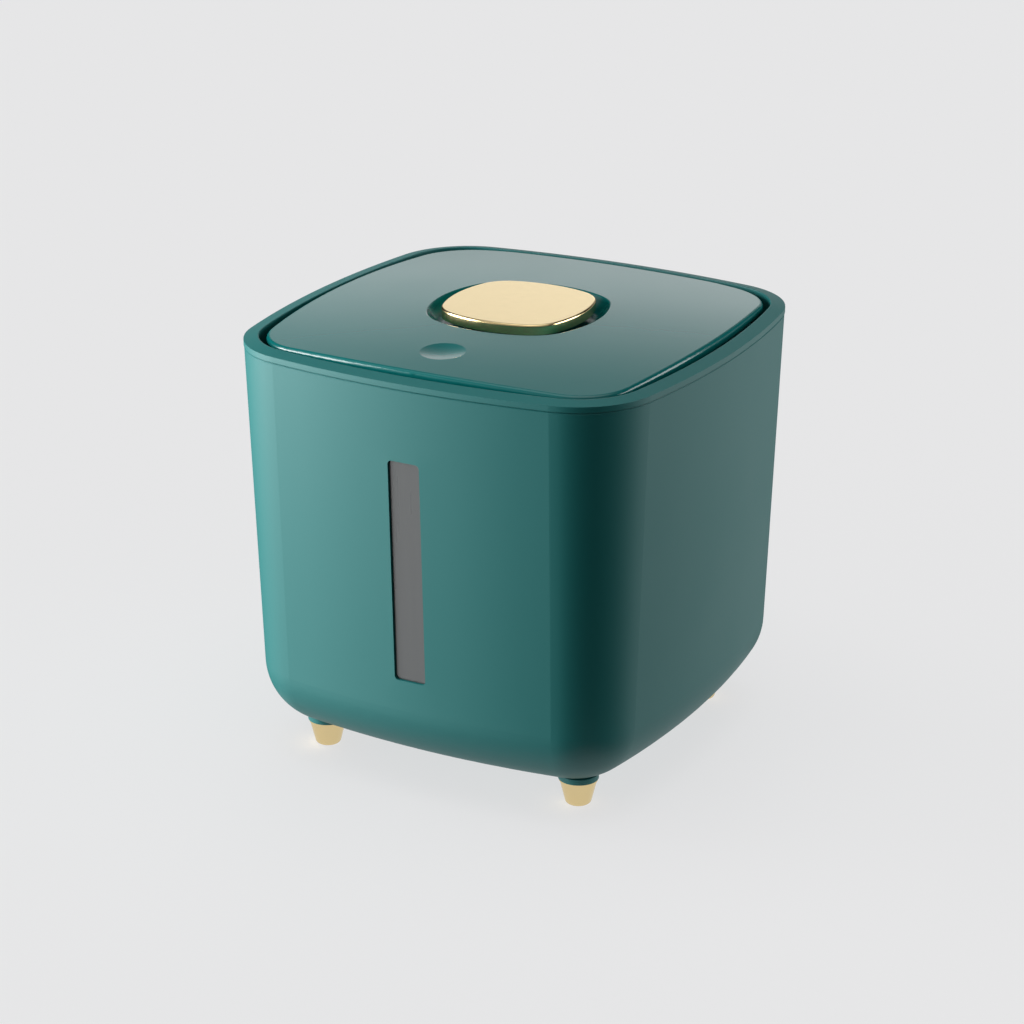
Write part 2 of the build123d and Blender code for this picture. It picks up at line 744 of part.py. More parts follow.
# ---- feet ------------------------------------------------------------------------------------
for side_name, side in sides.items():
    for end_name, end in ends.items():
        place = Location((side * foot_reach_x, end * foot_reach_y))
        with BuildPart() as foot_cup:
            with BuildSketch(Plane.XZ) as profile:
                with BuildLine():
                    Polyline(
                        (0, cup_lift),
                        (cup_bottom_radius, cup_lift),
                        (cup_taper_radius, boss_bottom_height - cup_band_height),
                        (cup_top_radius, boss_bottom_height - cup_band_height),
                        (cup_top_radius, boss_bottom_height),
                        (0, boss_bottom_height),
                        close=True,
                    )
                rim_corners = make_face().vertices()
                fillet(rim_corners.sort_by_distance((cup_bottom_radius, cup_lift))[0], cup_bottom_round)
                top_corners = rim_corners.filter_by_position(Axis.X, cup_top_radius, cup_top_radius)
                fillet(top_corners, cup_band_height / 3)
            revolve(axis=Axis.Z)
            # hollow from above round the middle post
            with BuildSketch(Plane.XY.offset(cup_floor)):
                Circle(cup_bottom_radius - cup_wall / 2)
                Circle(cup_post_radius, mode=Mode.SUBTRACT)
            extrude(amount=boss_bottom_height - cup_floor, mode=Mode.SUBTRACT)
            # seat for the pad, then the screw's head and shank
            with BuildSketch():
                Circle(pad_radius + pilot_clearance)
            extrude(amount=pad_thickness, mode=Mode.SUBTRACT)
            with BuildSketch():
                Circle(screw_head_radius + screw_hole_clearance)
            extrude(amount=foot_head_height + screw_head_height, mode=Mode.SUBTRACT)
            with BuildSketch():
                Circle(screw_hole_radius)
            extrude(amount=boss_bottom_height, mode=Mode.SUBTRACT)
        save(foot_cup.part.moved(place), f"foot_cup_{end_name}_{side_name}")

        with BuildPart() as foot_pad:
            with BuildSketch():
                Circle(pad_radius)
            extrude(amount=pad_thickness)
            chamfer(foot_pad.faces().sort_by(Axis.Z)[0].edges(), length=pad_thickness / 6)
        save(foot_pad.part.moved(place), f"foot_pad_{end_name}_{side_name}")

with BuildPart() as foot_screws:
    with Locations(*foot_places):
        add(screw(foot_head_height, foot_screw_length))
save(foot_screws.part, "foot_screws")
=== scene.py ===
import bpy
import bmesh
import json
from math import atan2, cos, pi, radians, sin, sqrt
from mathutils import Matrix, Vector


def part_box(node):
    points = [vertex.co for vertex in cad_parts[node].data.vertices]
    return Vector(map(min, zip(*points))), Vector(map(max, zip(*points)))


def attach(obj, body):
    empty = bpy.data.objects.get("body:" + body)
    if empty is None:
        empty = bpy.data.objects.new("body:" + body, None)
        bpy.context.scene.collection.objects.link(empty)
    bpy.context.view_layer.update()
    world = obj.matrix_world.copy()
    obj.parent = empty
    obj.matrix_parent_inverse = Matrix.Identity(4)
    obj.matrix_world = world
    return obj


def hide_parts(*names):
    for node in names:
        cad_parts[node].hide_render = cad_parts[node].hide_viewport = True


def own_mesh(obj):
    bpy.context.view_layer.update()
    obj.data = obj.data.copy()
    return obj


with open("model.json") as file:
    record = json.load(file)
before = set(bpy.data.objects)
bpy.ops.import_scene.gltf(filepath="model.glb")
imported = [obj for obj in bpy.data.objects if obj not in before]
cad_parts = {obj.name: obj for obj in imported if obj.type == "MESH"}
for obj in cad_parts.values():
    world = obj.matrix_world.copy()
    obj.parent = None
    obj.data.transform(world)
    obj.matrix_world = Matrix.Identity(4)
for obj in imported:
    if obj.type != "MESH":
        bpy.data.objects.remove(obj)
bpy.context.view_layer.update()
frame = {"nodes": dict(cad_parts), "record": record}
MM = 0.001
WELD = 0.002 * MM  # points nearer than this are one
SHARP_ANGLE = radians(32)  # edges that bend more than this stay crisp
scene = bpy.context.scene


# ---- small helpers --------------------------------------------------------------------------
def linear(hex_colour):
    """An sRGB hex colour as the linear RGBA that the shaders take."""
    parts = [int(hex_colour[place:place + 2], 16) / 255 for place in (1, 3, 5)]
    return [part / 12.92 if part <= 0.04045 else ((part + 0.055) / 1.055) ** 2.4 for part in parts] + [1.0]


def wire(tree, kind, inputs=None, **settings):
    """Add one node with its settings; an input is a value or the socket that feeds it."""
    node = tree.nodes.new(kind)
    for name, value in settings.items():
        setattr(node, name, value)
    for name, value in (inputs or {}).items():
        socket = node.inputs[name]
        if isinstance(value, bpy.types.NodeSocket):
            tree.links.new(value, socket)
        else:
            socket.default_value = value
    return node


def new_material(name):
    material = bpy.data.materials.new(name)
    material.use_nodes = True
    material.node_tree.nodes.clear()
    return material, material.node_tree


# ---- materials ------------------------------------------------------------------------------
def moulded_abs(name, colour, roughness):
    """ABS, injection moulded in a polished tool: even colour, soft gloss, a faint orange peel."""
    material, tree = new_material(name)
    place = wire(tree, "ShaderNodeTexCoord").outputs["Object"]
    # flow of the melt: a slow drift of gloss, about 60 mm wide
    flow = wire(tree, "ShaderNodeTexNoise", {"Vector": place, "Scale": 1 / (60 * MM), "Detail": 2.0})
    gloss = wire(tree, "ShaderNodeMapRange", {
        "Value": flow.outputs["Fac"], "To Min": roughness - 0.03, "To Max": roughness + 0.03})
    # orange peel: dimples 2.5 mm across and a few thousandths deep
    peel = wire(tree, "ShaderNodeTexNoise", {"Vector": place, "Scale": 1 / (2.5 * MM), "Detail": 1.0})
    bump = wire(tree, "ShaderNodeBump", {
        "Height": peel.outputs["Fac"], "Strength": 0.05, "Distance": 0.02 * MM})
    shader = wire(tree, "ShaderNodeBsdfPrincipled", {
        "Base Color": linear(colour), "Roughness": gloss.outputs["Result"], "IOR": 1.5,
        "Normal": bump.outputs["Normal"]})
    wire(tree, "ShaderNodeOutputMaterial", {"Surface": shader.outputs["BSDF"]})
    return material


def plated_gold():
    """Vacuum-plated ABS under clear lacquer: pale champagne metal, bright, with a slight haze."""
    material, tree = new_material("vacuum_plated_champagne_gold")
    place = wire(tree, "ShaderNodeTexCoord").outputs["Object"]
    # haze of the lacquer: soft clouds 4 mm wide in the gloss
    haze = wire(tree, "ShaderNodeTexNoise", {"Vector": place, "Scale": 1 / (4 * MM), "Detail": 3.0})
    gloss = wire(tree, "ShaderNodeMapRange", {"Value": haze.outputs["Fac"], "To Min": 0.15, "To Max": 0.23})
    # the moulding's orange peel shows through the thin metal
    peel = wire(tree, "ShaderNodeTexNoise", {"Vector": place, "Scale": 1 / (1.8 * MM), "Detail": 1.0})
    bump = wire(tree, "ShaderNodeBump", {
        "Height": peel.outputs["Fac"], "Strength": 0.04, "Distance": 0.02 * MM})
    shader = wire(tree, "ShaderNodeBsdfPrincipled", {
        "Base Color": linear("#f3dba4"), "Metallic": 1.0, "Roughness": gloss.outputs["Result"],
        "Normal": bump.outputs["Normal"]})
    wire(tree, "ShaderNodeOutputMaterial", {"Surface": shader.outputs["BSDF"]})
    return material


def smoky_styrene():
    """Extruded smoke-grey styrene strip: glossy, a little see-through, with faint drawn lines."""
    material, tree = new_material("extruded_smoky_styrene")
    place = wire(tree, "ShaderNodeTexCoord").outputs["Object"]
    # die lines run along the strip: 3 mm apart across it, stretched over 300 mm of its height
    lines = wire(tree, "ShaderNodeMapping", {
        "Vector": place, "Scale": (1 / (3 * MM), 1 / (3 * MM), 1 / (300 * MM))})
    drawn = wire(tree, "ShaderNodeTexNoise", {"Vector": lines.outputs["Vector"], "Scale": 1.0, "Detail": 1.0})
    gloss = wire(tree, "ShaderNodeMapRange", {"Value": drawn.outputs["Fac"], "To Min": 0.26, "To Max": 0.3})
    tint = wire(tree, "ShaderNodeMix", {
        "Factor": drawn.outputs["Fac"], "A": linear("#3f4344"), "B": linear("#444849")}, data_type="RGBA")
    shader = wire(tree, "ShaderNodeBsdfPrincipled", {
        "Base Color": tint.outputs["Result"], "Roughness": gloss.outputs["Result"], "IOR": 1.59,
        "Transmission Weight": 0.25})
    wire(tree, "ShaderNodeOutputMaterial", {"Surface": shader.outputs["BSDF"]})
    return material


def grained_plastic(name, colour, dust, roughness, grain, depth):
    """Plastic or rubber from a spark-eroded tool: a fine even grain, and specks of another shade."""
    material, tree = new_material(name)
    place = wire(tree, "ShaderNodeTexCoord").outputs["Object"]
    pits = wire(tree, "ShaderNodeTexNoise", {"Vector": place, "Scale": 1 / (grain * MM), "Detail": 2.0})
    cloud = wire(tree, "ShaderNodeTexNoise", {"Vector": place, "Scale": 1 / (25 * MM), "Detail": 3.0})
    tint = wire(tree, "ShaderNodeMix", {
        "Factor": cloud.outputs["Fac"], "A": linear(colour), "B": linear(dust)}, data_type="RGBA")
    gloss = wire(tree, "ShaderNodeMapRange", {
        "Value": pits.outputs["Fac"], "To Min": roughness - 0.06, "To Max": roughness + 0.06})
    bump = wire(tree, "ShaderNodeBump", {
        "Height": pits.outputs["Fac"], "Strength": 0.3, "Distance": depth * MM})
    shader = wire(tree, "ShaderNodeBsdfPrincipled", {
        "Base Color": tint.outputs["Result"], "Roughness": gloss.outputs["Result"], "IOR": 1.49,
        "Normal": bump.outputs["Normal"]})
    wire(tree, "ShaderNodeOutputMaterial", {"Surface": shader.outputs["BSDF"]})
    return material, shader


def plated_metal(name, light, dark, roughness, crystal):
    """Plated steel: bright, with the patches of slightly darker metal that the bath leaves."""
    material, tree = new_material(name)
    place = wire(tree, "ShaderNodeTexCoord").outputs["Object"]
    patches = wire(tree, "ShaderNodeTexVoronoi", {"Vector": place, "Scale": 1 / (crystal * MM)})
    tint = wire(tree, "ShaderNodeMix", {
        "Factor": patches.outputs["Distance"], "A": linear(light), "B": linear(dark)}, data_type="RGBA")
    gloss = wire(tree, "ShaderNodeMapRange", {
        "Value": patches.outputs["Distance"], "To Min": roughness - 0.05, "To Max": roughness + 0.08})
    shader = wire(tree, "ShaderNodeBsdfPrincipled", {
        "Base Color": tint.outputs["Result"], "Metallic": 1.0, "Roughness": gloss.outputs["Result"]})
    wire(tree, "ShaderNodeOutputMaterial", {"Surface": shader.outputs["BSDF"]})
    return material


TEAL = "#075f5e"
polypropylene, _ = grained_plastic("moulded_white_polypropylene", "#d2cfc5", "#cac7bc", 0.46, 0.5, 0.03)
silicone, silicone_shader = grained_plastic("moulded_clear_silicone", "#c9cac6", "#bdbfbc", 0.5, 0.7, 0.02)
# light goes a millimetre or so into the milky silicone
silicone_shader.inputs["Subsurface Weight"].default_value = 0.4
silicone_shader.inputs["Subsurface Scale"].default_value = 1.5 * MM
rubber, _ = grained_plastic("moulded_black_rubber", "#1c1c1c", "#292827", 0.75, 0.4, 0.05)
acetal, _ = grained_plastic("moulded_dark_acetal", "#232425", "#2b2c2d", 0.4, 0.5, 0.02)
finishes = {
    "tub_plastic": moulded_abs("satin_moulded_abs_teal", TEAL, 0.5),
    "lid_plastic": moulded_abs("gloss_moulded_abs_teal", TEAL, 0.19),
    "gold_plating": plated_gold(),
    "smoky_window": smoky_styrene(),
    "panel_plastic": polypropylene,
    "silicone": silicone,
    "rubber_pad": rubber,
    "catch_plastic": acetal,
    "steel": plated_metal("zinc_plated_steel", "#c9ccd0", "#aab0b8", 0.32, 1.2),
    "plated_steel": plated_metal("nickel_plated_steel", "#d9d6cf", "#cbc7be", 0.2, 2.5),
}
finishes["frame_plastic"] = finishes["tub_plastic"]
slots = {sub["node"]: sub["material_slot"] for sub in frame["record"]["subparts"]}
for name, obj in frame["nodes"].items():
    for slot in obj.material_slots:
        slot.material = finishes[slots[name]]


# ---- pieces grown by geometry nodes ---------------------------------------------------------
def new_tree(name, sizes):
    """An empty geometry tree that takes base geometry and named sizes."""
    tree = bpy.data.node_groups.new(name, "GeometryNodeTree")
    tree.interface.new_socket("Base", in_out="INPUT", socket_type="NodeSocketGeometry")
    for size in sizes:
        tree.interface.new_socket(size, in_out="INPUT", socket_type="NodeSocketFloat")
    tree.interface.new_socket("Mesh", in_out="OUTPUT", socket_type="NodeSocketGeometry")
    return tree, wire(tree, "NodeGroupInput").outputs


def end_tree(tree, geometry, slot):
    """Weld what meets, realize the copies and give them their finish."""
    whole = wire(tree, "GeometryNodeMergeByDistance", {"Geometry": geometry, "Distance": WELD})
    real = wire(tree, "GeometryNodeRealizeInstances", {"Geometry": whole.outputs[0]})
    dressed = wire(tree, "GeometryNodeSetMaterial", {"Geometry": real.outputs[0], "Material": finishes[slot]})
    wire(tree, "NodeGroupOutput", {"Mesh": dressed.outputs[0]})
    return tree


def grow(name, tree, sizes, points, lines, node):
    """Run a tree on its base points and lines, and put the plain mesh in the place of a node."""
    base = bpy.data.meshes.new(name)
    base.from_pydata(points, lines, [])
    piece = bpy.data.objects.new(name, base)
    scene.collection.objects.link(piece)
    modifier = piece.modifiers.new(name, "NODES")
    modifier.node_group = tree
    for item in tree.interface.items_tree:
        if item.in_out == "INPUT" and item.name in sizes:
            modifier[item.identifier] = sizes[item.name]
    mesh = bpy.data.meshes.new_from_object(piece.evaluated_get(bpy.context.evaluated_depsgraph_get()))
    piece.modifiers.remove(modifier)
    piece.data = mesh
    faces = bmesh.new()
    faces.from_mesh(mesh)
    bmesh.ops.remove_doubles(faces, verts=faces.verts, dist=WELD)
    bmesh.ops.dissolve_degenerate(faces, edges=faces.edges, dist=WELD)
    bmesh.ops.recalc_face_normals(faces, faces=faces.faces)
    faces.to_mesh(mesh)
    faces.free()
    mesh.validate()
    mesh.shade_smooth()
    mesh.set_sharp_from_angle(angle=SHARP_ANGLE)
    body = next(body for body, members in frame["record"]["behaviour"]["bodies"].items() if node in members)
    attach(piece, body)
    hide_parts(node)
    return piece


def soft_square(half_width, corner_radius, side_radius, height, shift, steps=24):
    """A plan of four bowed sides and four round corners at one height, as points and their loop."""
    side_centre = side_radius - half_width
    reach = side_radius - corner_radius
    corner_centre = (sqrt(2 * reach**2 - side_centre**2) - side_centre) / 2
    join = atan2(corner_centre, corner_centre + side_centre)
    points = []
    for quarter in range(4):
        turn = Matrix.Rotation(quarter * pi / 2, 2)
        for step in range(steps):
            angle = join * (2 * step / steps - 1)
            points.append(turn @ Vector((side_radius * cos(angle) - side_centre, side_radius * sin(angle))))
        for step in range(steps):
            angle = join + (pi / 2 - 2 * join) * step / steps
            spot = Vector((cos(angle), sin(angle))) * corner_radius + Vector((corner_centre, corner_centre))
            points.append(turn @ spot)
    loop = [(index, (index + 1) % len(points)) for index in range(len(points))]
    return [(point.x, point.y + shift, height) for point in points], loop


def cap_tree():
    """Shell that follows a plan: side wall, rounded top edge, flat top, and the hollow below it."""
    tree, size = new_tree("plated_cap", ["Thickness", "Wall", "Edge Round", "Flat Margin", "Bottom Height"])
    loop = wire(tree, "GeometryNodeMeshToCurve", {"Mesh": size["Base"]})
    path = wire(tree, "GeometryNodeSetCurveNormal", {"Curve": loop.outputs[0]}, mode="Z_UP").outputs[0]
    # the section lies across the path: X points outwards and Y down
    wall_in = wire(tree, "ShaderNodeMath", {0: size["Wall"], 1: -1.0}, operation="MULTIPLY").outputs[0]
    round_in = wire(tree, "ShaderNodeMath", {0: size["Edge Round"], 1: -1.0}, operation="MULTIPLY").outputs[0]
    top = wire(tree, "ShaderNodeMath", {0: size["Thickness"], 1: -1.0}, operation="MULTIPLY").outputs[0]
    ceiling = wire(tree, "ShaderNodeMath", {0: top, 1: size["Wall"]}, operation="ADD").outputs[0]
    shoulder = wire(tree, "ShaderNodeMath", {0: top, 1: size["Edge Round"]}, operation="ADD").outputs[0]
    flat_in = wire(tree, "ShaderNodeMath", {
        0: round_in, 1: size["Flat Margin"]}, operation="SUBTRACT").outputs[0]
    section = wire(tree, "GeometryNodeJoinGeometry")
    wall_run = [(wall_in, ceiling), (wall_in, 0.0), (0.0, 0.0), (0.0, shoulder)]
    flat_run = [(round_in, top), (flat_in, top)]
    for run in (wall_run, flat_run):
        spots = [wire(tree, "ShaderNodeCombineXYZ", {"X": x, "Y": y}).outputs[0] for x, y in run]
        for start, end in zip(spots, spots[1:]):
            line = wire(tree, "GeometryNodeCurvePrimitiveLine", {"Start": start, "End": end})
            tree.links.new(line.outputs[0], section.inputs[0])
    bend = wire(tree, "GeometryNodeCurveArc", {
        "Resolution": 10, "Radius": size["Edge Round"], "Start Angle": 0.0, "Sweep Angle": -pi / 2})
    middle = wire(tree, "ShaderNodeCombineXYZ", {"X": round_in, "Y": shoulder}).outputs[0]
    edge = wire(tree, "GeometryNodeTransform", {"Geometry": bend.outputs[0], "Translation": middle})
    tree.links.new(edge.outputs[0], section.inputs[0])
    skin = wire(tree, "GeometryNodeCurveToMesh", {"Curve": path, "Profile Curve": section.outputs[0]})
    shell = wire(tree, "GeometryNodeJoinGeometry")
    tree.links.new(skin.outputs[0], shell.inputs[0])
    # two level faces close the shell, each on the plan drawn in to meet the section's end
    along = wire(tree, "GeometryNodeInputTangent").outputs[0]
    outward = wire(tree, "ShaderNodeVectorMath", {
        0: along, 1: (0, 0, 1)}, operation="CROSS_PRODUCT").outputs[0]
    for inset, drop in ((flat_in, top), (wall_in, ceiling)):
        shift = wire(tree, "ShaderNodeVectorMath", {0: outward, "Scale": inset}, operation="SCALE").outputs[0]
        drawn_in = wire(tree, "GeometryNodeSetPosition", {"Geometry": path, "Offset": shift})
        face = wire(tree, "GeometryNodeFillCurve", {"Curve": drawn_in.outputs[0]}, mode="NGONS")
        height = wire(tree, "ShaderNodeMath", {0: drop, 1: -1.0}, operation="MULTIPLY").outputs[0]
        lift = wire(tree, "ShaderNodeCombineXYZ", {"Z": height}).outputs[0]
        level = wire(tree, "GeometryNodeTransform", {"Geometry": face.outputs[0], "Translation": lift})
        tree.links.new(level.outputs[0], shell.inputs[0])
    stand = wire(tree, "ShaderNodeCombineXYZ", {"Z": size["Bottom Height"]}).outputs[0]
    placed = wire(tree, "GeometryNodeTransform", {"Geometry": shell.outputs[0], "Translation": stand})
    return end_tree(tree, placed.outputs[0], "gold_plating")


def gasket_tree():
    """Gasket along the mouth: a soft-cornered strip whose lower side is grooved into sealing ribs."""
    tree, size = new_tree("ribbed_gasket", ["Width", "Height", "Corner Round", "Groove Depth", "Grooves"])
    loop = wire(tree, "GeometryNodeMeshToCurve", {"Mesh": size["Base"]})
    path = wire(tree, "GeometryNodeSetCurveNormal", {"Curve": loop.outputs[0]}, mode="Z_UP").outputs[0]
    block = wire(tree, "GeometryNodeCurvePrimitiveQuadrilateral", {
        "Width": size["Width"], "Height": size["Height"]})
    soft = wire(tree, "GeometryNodeFilletCurve", {"Curve": block.outputs[0], "Radius": size["Corner Round"]})
    fine = wire(tree, "GeometryNodeResampleCurve", {"Curve": soft.outputs[0], "Count": 64})
    spot = wire(tree, "ShaderNodeSeparateXYZ", {0: wire(tree, "GeometryNodeInputPosition").outputs[0]})
    # grooves as a cosine across the width, on the half that faces down
    share = wire(tree, "ShaderNodeMath", {
        0: spot.outputs["X"], 1: size["Width"]}, operation="DIVIDE").outputs[0]
    turns = wire(tree, "ShaderNodeMath", {0: share, 1: size["Grooves"]}, operation="MULTIPLY").outputs[0]
    angle = wire(tree, "ShaderNodeMath", {0: turns, 1: 2 * pi}, operation="MULTIPLY").outputs[0]
    crest = wire(tree, "ShaderNodeMath", {0: angle}, operation="COSINE").outputs[0]
    sunk = wire(tree, "ShaderNodeMapRange", {
        "Value": crest, "From Min": 1.0, "From Max": -1.0}).outputs["Result"]
    lower = wire(tree, "ShaderNodeMath", {0: spot.outputs["Y"], 1: 0.0}, operation="GREATER_THAN").outputs[0]
    cut = wire(tree, "ShaderNodeMath", {0: sunk, 1: lower}, operation="MULTIPLY").outputs[0]
    depth = wire(tree, "ShaderNodeMath", {0: cut, 1: size["Groove Depth"]}, operation="MULTIPLY").outputs[0]
    raised = wire(tree, "ShaderNodeMath", {0: depth, 1: -1.0}, operation="MULTIPLY").outputs[0]
    shift = wire(tree, "ShaderNodeCombineXYZ", {"Y": raised}).outputs[0]
    section = wire(tree, "GeometryNodeSetPosition", {"Geometry": fine.outputs[0], "Offset": shift})
    strip = wire(tree, "GeometryNodeCurveToMesh", {"Curve": path, "Profile Curve": section.outputs[0]})
    return end_tree(tree, strip.outputs[0], "silicone")


RECESS_REACH = 1.05  # length of the cross recess, as a share of the head's radius
TIP_SHARE = 0.75  # the core's radius at the tip, as a share of the radius at the head
END_CLEARANCE = 3.0  # bare length at the tip, in thread radii


def screw_tree():
    """Self-tapping pan-head screw with a cross recess and a helical thread, one at each base point."""
    tree, size = new_tree("cross_screws", [
        "Head Radius", "Head Height", "Head Crown", "Recess Width",
        "Core Radius", "Thread Radius", "Length", "Turns"])
    half_head = wire(tree, "ShaderNodeMath", {
        0: size["Head Height"], 1: 0.5}, operation="MULTIPLY").outputs[0]
    drum = wire(tree, "GeometryNodeMeshCylinder", {
        "Vertices": 40, "Radius": size["Head Radius"], "Depth": size["Head Height"]})
    ball = wire(tree, "GeometryNodeMeshUVSphere", {"Segments": 40, "Rings": 40, "Radius": size["Head Crown"]})
    head_up = wire(tree, "ShaderNodeCombineXYZ", {"Z": half_head}).outputs[0]
    ball_up = wire(tree, "ShaderNodeCombineXYZ", {"Z": size["Head Crown"]}).outputs[0]
    drum_place = wire(tree, "GeometryNodeTransform", {"Geometry": drum.outputs[0], "Translation": head_up})
    ball_place = wire(tree, "GeometryNodeTransform", {"Geometry": ball.outputs[0], "Translation": ball_up})
    dome = wire(tree, "GeometryNodeMeshBoolean", {
        "Mesh 2": drum_place.outputs[0]}, operation="INTERSECT", solver="MANIFOLD")
    tree.links.new(ball_place.outputs[0], dome.inputs["Mesh 2"])
    recess_length = wire(tree, "ShaderNodeMath", {
        0: size["Head Radius"], 1: RECESS_REACH}, operation="MULTIPLY").outputs[0]
    cross = [
        wire(tree, "ShaderNodeCombineXYZ", {"X": x, "Y": y, "Z": size["Head Height"]}).outputs[0]
        for x, y in ((recess_length, size["Recess Width"]), (size["Recess Width"], recess_length))
    ]
    head = wire(tree, "GeometryNodeMeshBoolean", {
        "Mesh 1": dome.outputs[0]}, operation="DIFFERENCE", solver="MANIFOLD")
    for arm in cross:
        tree.links.new(wire(tree, "GeometryNodeMeshCube", {"Size": arm}).outputs[0], head.inputs["Mesh 2"])
    # core and thread stand on the middle of the head
    shank_length = wire(tree, "ShaderNodeMath", {
        0: size["Length"], 1: half_head}, operation="SUBTRACT").outputs[0]
    tip = wire(tree, "ShaderNodeMath", {
        0: size["Core Radius"], 1: TIP_SHARE}, operation="MULTIPLY").outputs[0]
    core = wire(tree, "GeometryNodeMeshCone", {
        "Vertices": 24, "Radius Top": tip, "Radius Bottom": size["Core Radius"], "Depth": shank_length})
    core_place = wire(tree, "GeometryNodeTransform", {"Geometry": core.outputs[0], "Translation": head_up})
    spare = wire(tree, "ShaderNodeMath", {
        0: size["Thread Radius"], 1: END_CLEARANCE}, operation="MULTIPLY").outputs[0]
    thread_from = wire(tree, "ShaderNodeMath", {
        0: size["Head Height"], 1: size["Thread Radius"]}, operation="ADD").outputs[0]
    thread_to = wire(tree, "ShaderNodeMath", {0: size["Length"], 1: spare}, operation="SUBTRACT").outputs[0]
    rise = wire(tree, "ShaderNodeMath", {0: thread_to, 1: thread_from}, operation="SUBTRACT").outputs[0]
    helix = wire(tree, "GeometryNodeCurveSpiral", {
        "Resolution": 20, "Rotations": size["Turns"], "Start Radius": size["Core Radius"],
        "End Radius": tip, "Height": rise})
    wire_section = wire(tree, "GeometryNodeCurvePrimitiveCircle", {
        "Resolution": 6, "Radius": size["Thread Radius"]})
    thread = wire(tree, "GeometryNodeCurveToMesh", {
        "Curve": helix.outputs[0], "Profile Curve": wire_section.outputs[0], "Fill Caps": True})
    thread_up = wire(tree, "ShaderNodeCombineXYZ", {"Z": thread_from}).outputs[0]
    thread_place = wire(tree, "GeometryNodeTransform", {
        "Geometry": thread.outputs[0], "Translation": thread_up})
    screw = wire(tree, "GeometryNodeMeshBoolean", {
        "Mesh 2": head.outputs[0]}, operation="UNION", solver="MANIFOLD")
    tree.links.new(core_place.outputs[0], screw.inputs["Mesh 2"])
    tree.links.new(thread_place.outputs[0], screw.inputs["Mesh 2"])
    copies = wire(tree, "GeometryNodeInstanceOnPoints", {
        "Points": size["Base"], "Instance": screw.outputs[0]})
    return end_tree(tree, copies.outputs[0], "steel")


def spring_tree():
    """Compression spring of round wire, one at each base point."""
    tree, size = new_tree("catch_coil", ["Coil Radius", "Wire Radius", "Height", "Turns"])
    ends = wire(tree, "ShaderNodeMath", {0: size["Wire Radius"], 1: 2.0}, operation="MULTIPLY").outputs[0]
    rise = wire(tree, "ShaderNodeMath", {0: size["Height"], 1: ends}, operation="SUBTRACT").outputs[0]
    helix = wire(tree, "GeometryNodeCurveSpiral", {
        "Resolution": 32, "Rotations": size["Turns"], "Start Radius": size["Coil Radius"],
        "End Radius": size["Coil Radius"], "Height": rise})
    round_wire = wire(tree, "GeometryNodeCurvePrimitiveCircle", {
        "Resolution": 12, "Radius": size["Wire Radius"]})
    coil = wire(tree, "GeometryNodeCurveToMesh", {
        "Curve": helix.outputs[0], "Profile Curve": round_wire.outputs[0], "Fill Caps": True})
    lift = wire(tree, "ShaderNodeCombineXYZ", {"Z": size["Wire Radius"]}).outputs[0]
    placed = wire(tree, "GeometryNodeTransform", {"Geometry": coil.outputs[0], "Translation": lift})
    copies = wire(tree, "GeometryNodeInstanceOnPoints", {
        "Points": size["Base"], "Instance": placed.outputs[0]})
    return end_tree(tree, copies.outputs[0], slots["latch_spring"])


# grip cap: its plan's corners and sides, its wall and its rounded top edge
GRIP_CORNER = 22 * MM
GRIP_SIDE = 75 * MM
cap_low, cap_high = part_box("grip_cap")
cap_plan, cap_loop = soft_square(cap_high[0], GRIP_CORNER, GRIP_SIDE, 0.0, 0.0)
cap_sizes = {
    "Thickness": cap_high[2] - cap_low[2], "Wall": 1.8 * MM, "Edge Round": 1.2 * MM,
    "Flat Margin": 0.8 * MM, "Bottom Height": cap_low[2]}
grow("plated_grip_cap", cap_tree(), cap_sizes, cap_plan, cap_loop, "grip_cap")

# lid gasket: the outer edge's corners and sides, and the strip's width
GASKET_CORNER = 34 * MM
GASKET_SIDE = 484 * MM
GASKET_WIDTH = 5.4 * MM
gasket_low, gasket_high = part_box("lid_gasket")
half_strip = GASKET_WIDTH / 2
gasket_path, gasket_loop = soft_square(
    gasket_high[0] - half_strip, GASKET_CORNER - half_strip, GASKET_SIDE - half_strip,
    (gasket_low[2] + gasket_high[2]) / 2, (gasket_low[1] + gasket_high[1]) / 2)
gasket_sizes = {
    "Width": GASKET_WIDTH, "Height": gasket_high[2] - gasket_low[2], "Corner Round": 0.5 * MM,
    "Groove Depth": 0.6 * MM, "Grooves": 2.0}
grow("ribbed_lid_gasket", gasket_tree(), gasket_sizes, gasket_path, gasket_loop, "lid_gasket")

# screws: the head's lowest point is the bottom of the node's box
HEAD_RADIUS = 2.8 * MM
screw_sizes = {
    "Head Radius": HEAD_RADIUS, "Head Height": 1.8 * MM, "Head Crown": 5.4 * MM, "Recess Width": 0.75 * MM,
    "Core Radius": 1.1 * MM, "Thread Radius": 0.28 * MM}
SHORT_SCREW_TURNS = 5.0
FOOT_SCREW_TURNS = 12.0
LID_SCREW_CORNER = 74 * MM
GRIP_SCREW_OFFSET = 14 * MM
screws = screw_tree()


def screw_set(name, node, places, turns):
    low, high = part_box(node)
    sizes = dict(screw_sizes, Length=high[2] - low[2], Turns=turns)
    grow(name, screws, sizes, [(x, y, low[2]) for x, y in places], [], node)


